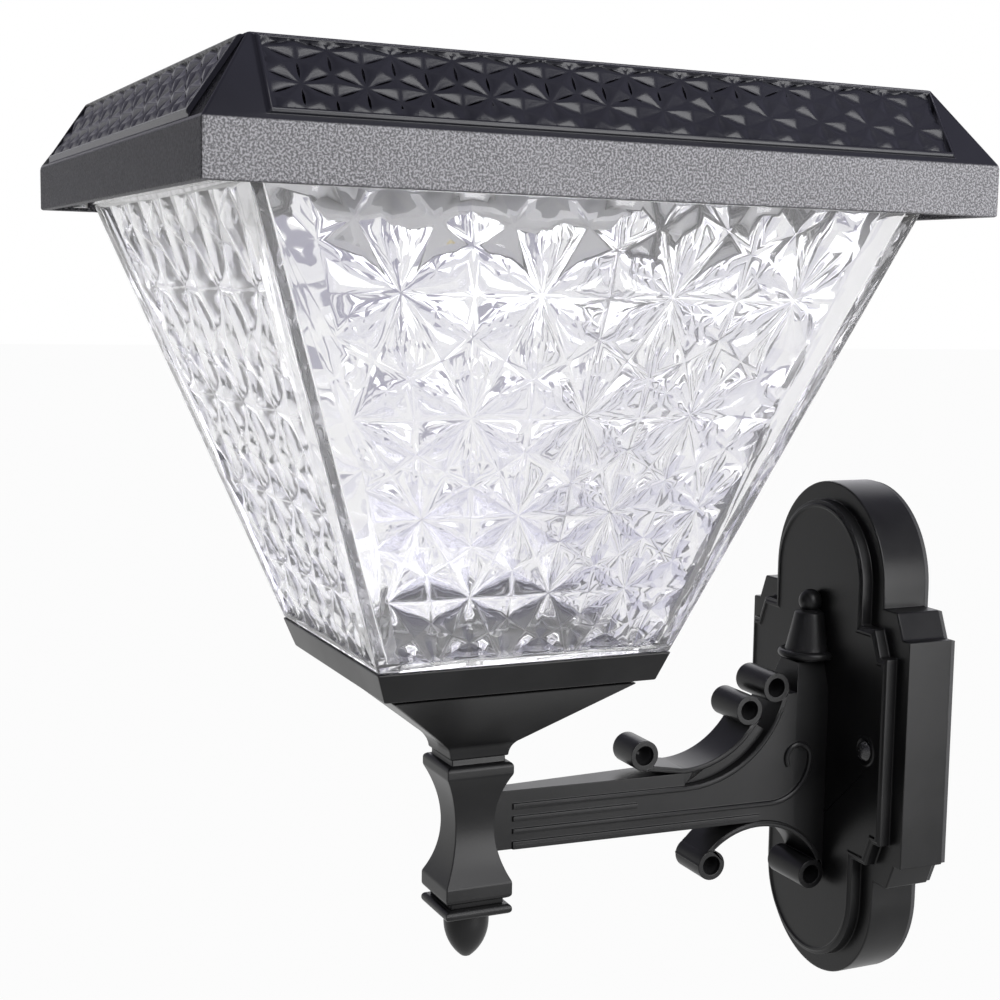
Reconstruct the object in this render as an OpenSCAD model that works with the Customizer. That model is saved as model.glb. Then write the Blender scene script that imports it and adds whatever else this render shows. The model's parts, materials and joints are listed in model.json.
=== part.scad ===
// Wall lantern on a scroll bracket, with a square solar cap and a clear star-pressed shade.
// Origin: centre of the wall plate's back. +Y goes into the wall, +Z is up, the lantern hangs towards -Y.
// Millimetres. Heights called "drop" are measured down from the lower edge of the cap's rim.

/* [Placement] */
// Distance from the wall to the lantern's upright axis
reach = 124; // [122:0.5:132]
// Height of the beam's top above the wall plate's centre
beam_z = -6.8; // [-8:0.1:2]

/* [Cap] */
// Width of the square cap over its rim
cap_w = 180; // [178:1:190]
// Height of the upright rim
rim_h = 11.3; // [10.8:0.1:14]
// Thickness of the rim's wall
rim_wall = 2.5; // [2:0.1:3]
// Height of the sloping roof above the rim
roof_h = 17; // [16:0.1:20]
// How far each slope of the roof runs inwards
roof_run = 11.5; // [10:0.5:13]
// Thickness of the sloping roof, measured level
roof_wall = 2.6; // [2:0.1:3]
// Height that the patterned panels stand above the slopes
relief_t = 0.9; // [0.4:0.1:1.2]
// Plain margin round each patterned panel
relief_margin = 1; // [0.5:0.1:2]

/* [Solar panel] */
// Plain border of the flat top round the square solar panel
panel_border = 9; // [8:0.5:11]
// Width of the ledge that the panel rests on
ledge_w = 4.5; // [3.5:0.1:5.5]
// Thickness of the ledge
ledge_t = 2.2; // [1.6:0.1:2.6]
// Thickness of the panel's front glass
panel_glass_t = 1.2; // [0.8:0.1:1.6]
// Thickness of the solar cells
cells_t = 0.4; // [0.3:0.1:0.6]
// Thickness of the panel's backing board
backing_t = 1.2; // [0.8:0.1:1.6]
// Thickness of the seal under the panel
panel_seal_t = 0.6; // [0.4:0.1:0.8]

/* [Cap base and lamp] */
// Height of the base plate's underside above the rim's lower edge
base_rise = 5.2; // [5:0.1:5.6]
// Thickness of the base plate
base_t = 2.5; // [2:0.1:3]
// Distance of the base screws from the cap's sides
base_screw_inset = 20; // [19:0.1:20.5]
// Width of the square lamp board
led_board_w = 34; // [28:1:36]
// Number of light-emitting diodes in the ring
led_count = 8; // [4:1:10]
// Radius of the ring of diodes
led_ring_r = 11; // [9:0.5:12]
// Radius of the reflector's lower edge
reflector_r = 42; // [34:1:48]
// Depth of the reflector
reflector_h = 7; // [5:0.5:10]
// Radius of a battery cell
cell_r = 7.1; // [6.5:0.1:7.2]
// Length of a battery cell
cell_len = 50.5; // [44:0.5:55]
// Travel of the push button
button_travel = 1; // [0.6:0.1:1.2]
// Radius of the push button
button_r = 2.6; // [2:0.1:2.8]

/* [Shade] */
// Distance from the cap's side to the shade, at the rim's lower edge
shade_inset = 12.5; // [11.5:0.5:15]
// Outer width of the shade at its foot
shade_foot_w = 75; // [72:0.5:75.4]
// Thickness of the shade's wall
shade_wall = 3; // [2:0.1:3.5]
// Drop of the shade's foot
shade_drop = 106; // [102:0.5:110]
// Distance from the cap's side to the edge of the shade's flange
flange_inset = 6; // [5:0.5:7]
// Thickness of the flange and of the foot band
shade_flange_t = 2.2; // [1.8:0.1:2.6]

/* [Tray and cup] */
// Outer width of the tray at its top
tray_top_w = 75.8; // [75.4:0.1:80]
// Outer width of the tray at its foot
tray_foot_w = 70.4; // [68:0.1:74]
// Height of the tray
tray_h = 7.4; // [6.5:0.1:9]
// Thickness of the tray's wall and floor
tray_wall = 2.2; // [1.8:0.1:2.6]
// Height of the fine groove between tray and cup
groove_h = 1.2; // [0.8:0.1:1.6]
// Width of the cup at its top
cup_top_w = 64; // [60:0.5:66]
// Height of the cup's straight flare
cup_flare_h = 17.4; // [16:0.1:19]
// Width of the cup at the foot of its flare
cup_waist_w = 21; // [20:0.1:24]
// Height of the cup's neck below its flare
cup_neck_h = 4.6; // [4:0.1:6]
// Width of the cup's neck
cup_neck_w = 16; // [15:0.1:18]
// Thickness of the cup's wall, measured upright
cup_wall = 2.6; // [2:0.1:3.2]

/* [Post] */
// Width of the post's square blocks
post_w = 18.2; // [17:0.1:20]
// Width of the post at its waist
post_waist_w = 10.8; // [10:0.1:12]
// Height of the post between its recessed ends
post_h = 36; // [35:0.5:38]
// Height of the recess above and below the post
post_recess_h = 1.6; // [1:0.1:2]
// Width of the recessed ends
post_recess_w = 14.6; // [13:0.1:15.5]
// Height of the straight foot block
post_block_h = 4; // [3:0.1:5]
// Thickness of the square foot plate
foot_plate_t = 2.6; // [2:0.1:3.5]
// Radius of the acorn finial
acorn_r = 5.9; // [5:0.1:7]
// Length of the acorn finial
acorn_len = 12.8; // [11:0.1:15]
// Radius of the tie rod through post and cup
rod_r = 2.4; // [2:0.1:2.6]
// Rounding of the edges of the post's blocks
post_round = 1.3; // [0.8:0.1:1.4]

/* [Arm] */
// How far the beam's top lies below the post's top
beam_below = 9.4; // [8.8:0.1:11]
// Height of the beam
beam_h = 15.8; // [14.5:0.1:16.5]
// Width of the bracket at the lantern's axis
arm_w_post = 6; // [5.5:0.1:7]
// Width of the bracket at the wall plate's face
arm_w_wall = 17; // [16:0.1:18]
// How far the beam and web lie inside the edges of the scroll strips
web_inset = 0.65; // [0.5:0.05:1.2]
// Height that the reeds and the hook line stand above the beam's side
reed_proud = 0.6; // [0.3:0.05:0.8]
// Distance from one reed on the beam's side to the next
reed_pitch = 3.4; // [3.2:0.1:3.5]
// Height of one reed
reed_h = 1.4; // [1:0.1:1.8]
// Height of the reed along the beam's lower edge
foot_reed_h = 2.1; // [1.6:0.1:2.2]
// Width of the column
column_w = 14.6; // [14:0.1:16]
// Depth of the column in front of the wall plate
column_d = 10.7; // [10:0.1:12]
// Height of the column's shoulder above the beam's top
column_rise = 19.6; // [18:0.1:21]
// Height of the column's tapered neck
column_neck_h = 8; // [7:0.1:9]

/* [Scrolls] */
// Thickness of the scroll strips
strip_t = 1.5; // [1.2:0.1:1.8]
// Outer radius of a rolled strip end
curl_r = 4.1; // [4:0.1:4.5]
// Depth of the recess in the end of a roll
curl_recess = 1.2; // [0.4:0.1:1.6]
// Radius of the eye in a roll
eye_r = 1.5; // [1:0.1:1.8]
// Inner radius of the upper scroll's sweep
upper_sweep_r = 25; // [24:0.1:26]
// Distance of the upper sweep's centre from the column
upper_sweep_back = 34.7; // [34:0.1:35]
// Space between the upper and the middle strip
strip_gap = 3.5; // [3.2:0.1:4]
// Depth of the groove between the two strips, below their edges
groove_inset = 2.2; // [1.4:0.1:2.6]
// Outer radius of the lower scroll's arch
arch_r = 22.3; // [21.5:0.1:23]
// Distance of the arch's centre from the wall plate's face
arch_back = 21.4; // [20.8:0.1:22]

/* [Wall plate] */
// Depth of the plate from the wall to its outer face
plate_d = 15; // [14:0.1:16]
// Thickness of the plate's walls
plate_wall = 2.6; // [2:0.1:3]
// Radius of the plate's round ends
plate_end_r = 26.8; // [26:0.1:28]
// Height of the whole plate
plate_h = 141.6; // [141:0.2:148]
// Greatest width of the plate
plate_w = 78.4; // [76:0.2:84]
// Height of the widest part
plate_wide_h = 62; // [58:0.5:66]
// Height of the widest part's middle above the plate's centre
plate_wide_z = 1; // [0:0.1:3]
// Width of the shoulders above and below the widest part
plate_shoulder_w = 70; // [68:0.2:72]
// Height of each shoulder
plate_shoulder_h = 7; // [6:0.1:8]
// Distance from the outline to the raised panel
panel_inset = 5.3; // [4.6:0.1:6]
// Height of the raised panel
panel_rise = 3.3; // [2.6:0.1:4]

/* [Wall fixing] */
// Distance between the two dome screws that hold the plate to its strap
dome_pitch = 51.2; // [48:0.2:54]
// Height of the strap
strap_h = 14; // [12:0.5:16]
// Thickness of the strap
strap_t = 2; // [1.6:0.1:2.6]
// Distance between the strap's two wall holes
wall_hole_pitch = 26; // [22:0.5:30]
// Radius of the strap's wall holes
wall_hole_r = 2.25; // [2:0.05:2.5]
// Thickness of the weather gasket behind the plate
gasket_t = 1.2; // [0.8:0.1:1.6]

/* [Hidden] */
$fn = 64;
gap = 0.3;
thread_gap = 0.05;
big = 400;
cut = 0.5;

roof_top_w = cap_w - 2 * roof_run;
panel_w = roof_top_w - 2 * panel_border;
base_screw_at = cap_w / 2 - base_screw_inset;
shade_top_w = cap_w - 2 * shade_inset;
shade_flange_w = cap_w - 2 * flange_inset;
shade_slope = (shade_top_w - shade_foot_w) / 2 / shade_drop;
flange_top = base_rise - 1;
seal_t = base_rise - flange_top;
panel_ledge_z = rim_h + roof_h - panel_stack() - 0.2;
base_top = base_rise + base_t;
roof_angle = atan2(roof_h, roof_run);
roof_len = norm([roof_h, roof_run]);

tray_top_drop = shade_drop;
tray_foot_drop = tray_top_drop + tray_h;
cup_top_drop = tray_foot_drop + groove_h;
cup_foot_drop = cup_top_drop + cup_flare_h + cup_neck_h;
post_top_drop = cup_foot_drop + post_recess_h;
post_foot_drop = post_top_drop + post_h;
plate_drop = post_foot_drop + post_recess_h;
acorn_drop = plate_drop + foot_plate_t;

beam_drop = post_top_drop + beam_below;
beam_foot = beam_drop + beam_h;
column_drop = beam_drop - column_rise;
rim_z = beam_z + beam_drop;
raised_y = reach - plate_d - panel_rise;
column_y = raised_y - column_d;
upper_sweep_y = column_y - upper_sweep_back;
arch_y = raised_y - arch_back;
upper_sweep_drop = beam_drop - upper_sweep_r - strip_t;
middle_r = upper_sweep_r + strip_t + strip_gap;
middle_shift = 1;
middle_y = upper_sweep_y + middle_shift;
arch_drop = beam_foot + arch_r;
upper_angle = 62;
middle_angle = 80;
groove_angle = 56;
curl_lift = 1.9;
curl_a = [upper_sweep_y - 11.6, -(beam_drop - curl_r - curl_lift)];
arch_from_angle = 25;
arch_to_angle = 148;
arch_left_angle = 142;
arch_left_r = arch_r - curl_r + gap;
curl_d = [arch_y + arch_left_r * cos(arch_left_angle), -arch_drop + arch_left_r * sin(arch_left_angle)];
curl_e = [raised_y - curl_r - gap, -(arch_drop - 5.3)];

hook_line_t = 1.3;
hook_sweep_r = 13;
hook_turn_r = 4.4;
hook_from_column = 7.5;
hook_turn_angle = 215;
hook_drop = beam_drop + strip_gap + 2 * reed_pitch + hook_line_t;
second_reed_end = upper_sweep_y - 13.3;
column_screw_drops = [column_drop + 4.8, column_drop + 32.8];
column_screw_bite = 7.5;

screw_r = 1.5;
screw_head_r = 2.8;
screw_head_h = 1.6;
shade_screw_r = 1;
shade_screw_head_r = 1.9;
shade_screw_at = (shade_top_w + shade_flange_w) / 4 + 0.3;
boss_r = 3.4;
boss_screw_bite = 7;
dome_r = 3;
dome_h = 2;
dome_screw_r = 1.9;
plate_boss_r = 4;
plate_boss_h = 6;
strap_boss_h = 3;
strap_end = 6;
plate_round = 0.46 * foot_plate_t;
cell_margin = 4;
holder_wall = 1.1;
cells_y = -38;
cell_gap = 1;
cell_tip_r = 2.7;
cell_tip = 1;
board_size = [52, 30, 1.6];
board_y = 6;
board_rise = 3;
board_screw_at = board_size[0] / 2 - 4;
board_boss_r = 2.6;
small_screw_r = 1;
small_head_r = 1.9;
small_head_h = 1;
led_board_t = 1.6;
led_screw_at = led_board_w / 2 - 3;
switch_size = [8, 5, 3];
switch_leg = [1.6, 2];
switch_leg_at = 4.8;
button_at = [52, (shade_half(-flange_top) + cap_w / 2 - rim_wall) / 2];
button_proud = 1.6;
button_flange_t = 0.8;
button_flange = 0.9;
collar_t = 0.8;
collar_rim = 1;
switch_lift = button_travel + 2 * gap + button_flange_t;
spigot_half = tray_foot_w / 2 - tray_wall + 1.1;
spigot_wall = 3;
spigot_len = 3;
tray_floor = 3.2;
washer_t = 1;
washer_r = 6;
nut_h = 4;
nut_r = 4.6;
rod_proud = 1.5;
acorn_blind = 5;
cup_screw_at = cup_top_w / 2 - 8;
cup_screw_bite = 4;
led_size = 3.2;
led_h = 0.9;

function panel_stack() = panel_glass_t + cells_t + backing_t + panel_seal_t;
function shade_half(drop) = shade_top_w / 2 - shade_slope * drop;
function arm_half(y, inset) = arm_w_post / 2 + (arm_w_wall - arm_w_post) / 2 * y / raised_y - inset;

// Placing and extruding

module at_lamp(drop = 0) {
    translate([0, -reach, rim_z - drop]) children();
}

// Draws a level-and-upright outline (x, z) from y0 to y1
module along_y(y0, y1) {
    translate([0, y1, 0]) rotate([90, 0, 0]) linear_extrude(y1 - y0) children();
}

// Draws an outline (y, z) from x0 to x1
module along_x(x0, x1) {
    translate([x0, 0, 0]) rotate([90, 0, 90]) linear_extrude(x1 - x0) children();
}

// A square-sectioned shape whose four sides all have the outline of the child
module square_turned() {
    intersection() {
        along_y(-big / 2, big / 2) children();
        along_x(-big / 2, big / 2) children();
    }
}

module frustum(foot_half, top_half, foot_z, top_z) {
    square_turned() polygon([
        [-foot_half, foot_z], [foot_half, foot_z], [top_half, top_z], [-top_half, top_z]
    ]);
}

module block(half, z0, z1) {
    translate([-half, -half, z0]) cube([2 * half, 2 * half, z1 - z0]);
}

module ring_block(outer_half, inner_half, z0, z1) {
    difference() {
        block(outer_half, z0, z1);
        block(inner_half, z0 - cut, z1 + cut);
    }
}

module four_corners(at) {
    for (sx = [-1, 1], sy = [-1, 1]) translate([sx * at, sy * at, 0]) children();
}

// A square profile with rounded corners, [x, z]
module soft_square(half, z0, z1, r) {
    translate([-half + r, z0]) square([2 * (half - r), z1 - z0]);
    translate([-half, z0 + r]) square([2 * half, z1 - z0 - 2 * r]);
    for (s = [-1, 1], z = [z0 + r, z1 - r]) translate([s * (half - r), z]) circle(r = r);
}

// A screw whose head lies below z = 0 and whose shank points up
module screw_up(r, shank, head_r, head_h) {
    translate([0, 0, -head_h]) cylinder(h = head_h, r = head_r);
    cylinder(h = shank, r = r);
}

// Cap

module cap_outer() {
    block(cap_w / 2, 0, rim_h);
    frustum(cap_w / 2, roof_top_w / 2, rim_h, rim_h + roof_h);
}

module relief_panel() {
    panel_len = roof_len - relief_t * tan(roof_angle) - relief_margin;
    panel_half = roof_top_w / 2 - relief_margin;
    translate([0, -cap_w / 2, rim_h]) rotate([roof_angle, 0, 0])
        translate([-panel_half, relief_t * tan(roof_angle) + 0.1, -0.5])
            cube([2 * panel_half, panel_len, relief_t + 0.5]);
}

module cap_shell() {
    ledge_half = panel_w / 2 - ledge_w;
    color("#2b2b2d") at_lamp() {
        difference() {
            union() {
                cap_outer();
                for (i = [0:3]) rotate([0, 0, 90 * i]) relief_panel();
            }
            block(cap_w / 2 - rim_wall, -cut, rim_h);
            frustum(cap_w / 2 - roof_wall,
                cap_w / 2 - roof_wall - roof_run * (panel_ledge_z - ledge_t - rim_h) / roof_h,
                rim_h - 0.01, panel_ledge_z - ledge_t);
            block(ledge_half, rim_h, rim_h + roof_h + cut);
            block(panel_w / 2 + gap, panel_ledge_z, rim_h + roof_h + cut);
        }
        four_corners(base_screw_at) difference() {
            translate([0, 0, base_top]) cylinder(h = panel_ledge_z - ledge_t - base_top + 0.01, r = boss_r);
            translate([0, 0, base_top - cut])
                cylinder(h = boss_screw_bite + 2 * cut, r = screw_r + thread_gap);
        }
    }
}

module panel_layer(drawn_w, z0, thick) {
    at_lamp() block(drawn_w / 2, z0, z0 + thick);
}

module panel_seal() {
    color("#151515") at_lamp()
        ring_block(panel_w / 2, panel_w / 2 - ledge_w, panel_ledge_z, panel_ledge_z + panel_seal_t);
}

module panel_backing() {
    color("#e8e8e8") panel_layer(panel_w, panel_ledge_z + panel_seal_t, backing_t);
}

module solar_cells() {
    color("#10162c")
        panel_layer(panel_w - 2 * cell_margin, panel_ledge_z + panel_seal_t + backing_t, cells_t);
}

module panel_glass() {
    color("#27324a", 0.6)
        panel_layer(panel_w, panel_ledge_z + panel_seal_t + backing_t + cells_t, panel_glass_t);
}

// Base plate and what it carries

module base_holes() {
    four_corners(base_screw_at) translate([0, 0, base_rise - cut])
        cylinder(h = base_t + 2 * cut, r = screw_r + gap);
    four_corners(shade_screw_at) translate([0, 0, base_rise - cut])
        cylinder(h = base_t + 2 * cut, r = shade_screw_r + thread_gap);
    for (s = [-1, 1]) translate([s * led_screw_at, 0, base_rise - cut])
        cylinder(h = base_t + 2 * cut, r = small_screw_r + thread_gap);
    translate([button_at[0], button_at[1], base_rise - cut])
        cylinder(h = base_t + 2 * cut, r = button_r + gap);
}

module cap_base() {
    color("#e9e9ea") at_lamp() difference() {
        union() {
            block(cap_w / 2 - rim_wall - gap, base_rise, base_top);
            for (s = [-1, 1]) translate([s * board_screw_at, board_y, base_top])
                cylinder(h = board_rise, r = board_boss_r);
        }
        base_holes();
        for (s = [-1, 1]) translate([s * board_screw_at, board_y, base_rise + 1])
            cylinder(h = base_t + board_rise + cut, r = small_screw_r + thread_gap);
    }
}

module base_screws() {
    color("#9a9a9e") at_lamp() four_corners(base_screw_at) translate([0, 0, base_rise])
        screw_up(screw_r, base_t + boss_screw_bite, screw_head_r, screw_head_h);
}

module shade_screws() {
    color("#9a9a9e") at_lamp() four_corners(shade_screw_at)
        translate([0, 0, flange_top - shade_flange_t])
            screw_up(shade_screw_r, shade_flange_t + seal_t + base_t, shade_screw_head_r, 1.2);
}

module battery_holder() {
    inner = [cell_len + 1, 4 * cell_r + cell_gap + 1, cell_r];
    outer = [inner[0] + 2 * holder_wall, inner[1] + 2 * holder_wall, inner[2] + holder_wall];
    color("#1d1d1f") at_lamp() translate([0, cells_y, base_top]) difference() {
        translate([-outer[0] / 2, -outer[1] / 2, 0]) cube(outer);
        translate([-inner[0] / 2, -inner[1] / 2, holder_wall]) cube([inner[0], inner[1], inner[2] + cut]);
    }
}

module battery_cells() {
    color("#3f8f4f") at_lamp() for (s = [-1, 1])
        translate([-cell_len / 2, cells_y + s * (cell_r + cell_gap / 2), base_top + holder_wall + cell_r])
            rotate([0, 90, 0]) {
                cylinder(h = cell_len - cell_tip, r = cell_r);
                cylinder(h = cell_len, r = cell_tip_r);
            }
}

module control_board() {
    color("#1f5f3a") at_lamp() difference() {
        translate([-board_size[0] / 2, board_y - board_size[1] / 2, base_top + board_rise]) cube(board_size);
        for (s = [-1, 1]) translate([s * board_screw_at, board_y, base_top])
            cylinder(h = board_rise + board_size[2] + cut, r = small_screw_r + gap);
    }
}

module board_parts() {
    top = base_top + board_rise + board_size[2];
    chip = [10, 8, 1.6];
    coil_r = 3.2;
    coil_h = 4.4;
    cell_plug = [7, 6, 5];
    lamp_plug = [6, 5, 3];
    color("#222222") at_lamp() translate([0, board_y, top]) {
        translate([-chip[0] / 2 - 1, -chip[1] / 2, 0]) cube(chip);
        translate([chip[0], coil_r, 0]) cylinder(h = coil_h, r = coil_r);
        translate([-board_size[0] / 2 + 8, -board_size[1] / 2 + 6, 0]) cube(cell_plug);
        translate([board_size[0] / 2 - 18, -board_size[1] / 2 + 4, 0]) cube(lamp_plug);
    }
}

module board_screws() {
    top = base_top + board_rise + board_size[2];
    color("#9a9a9e") at_lamp() for (s = [-1, 1])
        translate([s * board_screw_at, board_y, top]) mirror([0, 0, 1])
            screw_up(small_screw_r, board_size[2] + board_rise + 1, small_head_r, small_head_h);
}

module led_board() {
    color("#f2f2f0") at_lamp() difference() {
        block(led_board_w / 2, base_rise - led_board_t, base_rise);
        for (s = [-1, 1]) translate([s * led_screw_at, 0, 0])
            cylinder(h = base_rise + cut, r = small_screw_r + gap);
    }
}

module leds() {
    color("#f6e9a8") at_lamp() for (i = [0:led_count - 1]) rotate([0, 0, 360 / led_count * (i + 0.5)])
        translate([led_ring_r - led_size / 2, -led_size / 2, base_rise - led_board_t - led_h])
            cube([led_size, led_size, led_h]);
}

module led_screws() {
    color("#9a9a9e") at_lamp() for (s = [-1, 1])
        translate([s * led_screw_at, 0, base_rise - led_board_t])
            screw_up(small_screw_r, led_board_t + base_t, small_head_r, small_head_h);
}

module reflector() {
    inner_r = led_board_w / 2 * sqrt(2) + 1;
    wall = 1.2;
    lip = 1;
    color("#f4f4f2") at_lamp() translate([0, 0, base_rise]) rotate_extrude() polygon([
        [inner_r, 0], [reflector_r - wall, wall - reflector_h], [reflector_r - wall, -reflector_h],
        [reflector_r + lip, -reflector_h], [reflector_r + lip, wall - reflector_h],
        [reflector_r, wall - reflector_h], [inner_r + 2 * wall, 0]
    ]);
}

// Push button in the channel behind the shade

module at_button(z) {
    at_lamp() translate([button_at[0], button_at[1], z]) children();
}

module switch_body() {
    color("#28282a") at_button(base_top + switch_lift) {
        translate([-switch_size[0] / 2, -switch_size[1] / 2, 0]) cube(switch_size);
        for (s = [-1, 1])
            translate([s * switch_leg_at - switch_leg[0] / 2, -switch_leg[1] / 2, -switch_lift])
                cube([switch_leg[0], switch_leg[1], switch_lift + 1]);
    }
}

module push_button() {
    flange_z = button_proud + base_t + gap;
    color("#4a4a4e") at_button(base_rise - button_proud) {
        cylinder(h = flange_z + button_flange_t, r = button_r);
        translate([0, 0, flange_z]) cylinder(h = button_flange_t, r = button_r + button_flange);
    }
}

module button_collar() {
    color("#1b1b1c") at_button(base_rise - collar_t) difference() {
        cylinder(h = collar_t, r = button_r + collar_rim);
        translate([0, 0, -cut]) cylinder(h = collar_t + 2 * cut, r = button_r + gap);
    }
}

// Shade

module shade_solid(inset, foot, top) {
    frustum(shade_half(foot) - inset, shade_half(top) - inset, -foot, -top);
}

module button_notch() {
    translate([button_at[0], button_at[1], 0])
        cylinder(h = base_rise + cut, r = button_r + collar_rim + gap);
}

module shade() {
    color("#e6e6f0", 0.35) at_lamp() difference() {
        union() {
            shade_solid(0, shade_drop, -flange_top);
            block(shade_flange_w / 2, flange_top - shade_flange_t, flange_top);
            block(spigot_half, -shade_drop - spigot_len, -shade_drop + cut);
        }
        shade_solid(shade_wall, shade_drop - shade_flange_t, -flange_top - cut);
        block(spigot_half - spigot_wall, -shade_drop - spigot_len - cut, -shade_drop + shade_flange_t + cut);
        button_notch();
        four_corners(shade_screw_at) translate([0, 0, flange_top - shade_flange_t - cut])
            cylinder(h = shade_flange_t + 2 * cut, r = shade_screw_r + gap);
    }
}

module shade_seal() {
    color("#c9c9cc") at_lamp() difference() {
        ring_block(shade_flange_w / 2, shade_half(-flange_top) - shade_wall, flange_top, base_rise);
        button_notch();
        four_corners(shade_screw_at) translate([0, 0, flange_top - cut])
            cylinder(h = seal_t + 2 * cut, r = shade_screw_r + gap);
    }
}

// Tray, cup and tie rod

module tray() {
    color("#1c1c1e") at_lamp() difference() {
        union() {
            frustum(tray_foot_w / 2, tray_top_w / 2, -tray_foot_drop, -tray_top_drop);
            block(cup_top_w / 2 - 1, -cup_top_drop, -tray_foot_drop);
        }
        block(spigot_half + gap, -tray_foot_drop + tray_floor, -tray_top_drop + cut);
        translate([0, 0, -cup_top_drop - cut]) cylinder(h = tray_h + 2, r = rod_r + gap);
        four_corners(cup_screw_at) translate([0, 0, -cup_top_drop - cut])
            cylinder(h = tray_h + 2, r = screw_r + gap);
    }
}

module tray_seal() {
    color("#b9b9bc") at_lamp()
        ring_block(spigot_half, spigot_half - spigot_wall, -tray_foot_drop + tray_floor, -shade_drop - spigot_len);
}

module cup_outline() {
    top = -cup_top_drop;
    waist = top - cup_flare_h;
    foot = waist - cup_neck_h;
    cove = (cup_waist_w - cup_neck_w) / 2;
    cove_r = (cup_neck_h * cup_neck_h + cove * cove) / 2 / cove;
    difference() {
        polygon([
            [-cup_top_w / 2, top], [cup_top_w / 2, top],
            [cup_waist_w / 2, waist], [cup_waist_w / 2, foot],
            [-cup_waist_w / 2, foot], [-cup_waist_w / 2, waist]
        ]);
        for (s = [-1, 1]) translate([s * (cup_neck_w / 2 + cove_r), foot]) circle(r = cove_r);
    }
}

module cup_bosses(r, h) {
    four_corners(cup_screw_at) translate([0, 0, -cup_top_drop - h]) cylinder(h = h + cut, r = r);
}

module cup() {
    slope = (cup_top_w - cup_waist_w) / 2 / cup_flare_h;
    inner_top = cup_top_w / 2 - slope * cup_wall;
    depth = cup_flare_h - cup_wall;
    color("#232325") at_lamp() difference() {
        square_turned() cup_outline();
        difference() {
            frustum(inner_top - slope * depth, inner_top + slope * cut, -cup_top_drop - depth, -cup_top_drop + cut);
            cup_bosses(screw_r + 1.6, depth);
        }
        translate([0, 0, -cup_foot_drop - cut]) cylinder(h = cup_neck_h + cup_flare_h + 2, r = rod_r + gap);
        cup_bosses(screw_r + thread_gap, cup_screw_bite + cut);
    }
}

module cup_screws() {
    color("#9a9a9e") at_lamp() four_corners(cup_screw_at)
        translate([0, 0, -tray_foot_drop + tray_floor]) mirror([0, 0, 1])
            screw_up(screw_r, tray_floor + groove_h + cup_screw_bite, screw_head_r, screw_head_h);
}

module tie_rod() {
    top = -tray_foot_drop + tray_floor + washer_t + nut_h + rod_proud;
    foot = -acorn_drop - acorn_len + acorn_blind;
    color("#a8a8ac") at_lamp() translate([0, 0, foot]) cylinder(h = top - foot, r = rod_r);
}

module tie_washer() {
    color("#a8a8ac") at_lamp() translate([0, 0, -tray_foot_drop + tray_floor]) difference() {
        cylinder(h = washer_t, r = washer_r);
        translate([0, 0, -cut]) cylinder(h = washer_t + 2 * cut, r = rod_r + gap);
    }
}

module tie_nut() {
    color("#a8a8ac") at_lamp() translate([0, 0, -tray_foot_drop + tray_floor + washer_t]) difference() {
        cylinder(h = nut_h, r = nut_r, $fn = 6);
        translate([0, 0, -cut]) cylinder(h = nut_h + 2 * cut, r = rod_r + thread_gap);
    }
}

// Post

module post_outline() {
    waist_lift = 0.6;
    waist_z = -(post_top_drop + post_h / 2) + waist_lift;
    hollow = (post_w - post_waist_w) / 2;
    span = post_h / 2 - post_block_h + waist_lift / 2;
    sweep_r = (span * span + hollow * hollow) / 2 / hollow;
    difference() {
        soft_square(post_w / 2, -post_foot_drop, -post_top_drop, post_round);
        for (s = [-1, 1]) translate([s * (post_waist_w / 2 + sweep_r), waist_z])
            circle(r = sweep_r, $fn = 128);
    }
}

module post_solid() {
    square_turned() post_outline();
    block(post_recess_w / 2, -post_top_drop, -cup_foot_drop);
    block(post_recess_w / 2, -plate_drop, -post_foot_drop);
}

module pin_holes(r) {
    for (z = pin_drops()) translate([0, post_waist_w / 2 - 1.9, -z]) rotate([-90, 0, 0])
        cylinder(h = 9, r = r);
}

function pin_drops() = [beam_drop + 0.3 * beam_h, beam_drop + 0.7 * beam_h];

module post() {
    color("#242426") at_lamp() difference() {
        post_solid();
        translate([0, 0, -plate_drop - cut])
            cylinder(h = plate_drop - cup_foot_drop + 2 * cut, r = rod_r + gap);
        pin_holes(1 + thread_gap);
    }
}

module foot_plate() {
    color("#242426") at_lamp() difference() {
        square_turned() soft_square(post_w / 2, -acorn_drop, -plate_drop, plate_round);
        translate([0, 0, -acorn_drop - cut]) cylinder(h = foot_plate_t + 2 * cut, r = rod_r + gap);
    }
}

module acorn_finial() {
    neck = 3;
    bulge = 6.5;
    bore = acorn_len - acorn_blind;
    color("#242426") at_lamp(acorn_drop) difference() {
        rotate_extrude() intersection() {
            translate([0, -acorn_len]) square([acorn_r, acorn_len]);
            union() {
                translate([0, -neck]) square([acorn_r, neck]);
                translate([-bulge, -neck]) circle(r = acorn_r + bulge, $fn = 128);
            }
        }
        translate([0, 0, -bore]) cylinder(h = bore + cut, r = rod_r + thread_gap);
    }
}

// Bracket

// Plan of the bracket, widening from the post to the wall
module arm_plan(inset) {
    translate([0, 0, -big]) linear_extrude(2 * big) polygon([
        [-arm_half(0, inset), 0], [arm_half(0, inset), 0],
        [arm_half(raised_y, inset), raised_y], [-arm_half(raised_y, inset), raised_y]
    ]);
}

module wedge(r, a0, a1) {
    steps = ceil((a1 - a0) / 30);
    polygon(concat([[0, 0]], [for (i = [0:steps]) let (a = a0 + (a1 - a0) * i / steps)
        [1.2 * r * cos(a), 1.2 * r * sin(a)]]));
}

module ring_part(outer, thick, a0, a1) {
    intersection() {
        difference() {
            circle(r = outer, $fn = 128);
            circle(r = outer - thick, $fn = 128);
        }
        wedge(outer, a0, a1);
    }
}

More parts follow.
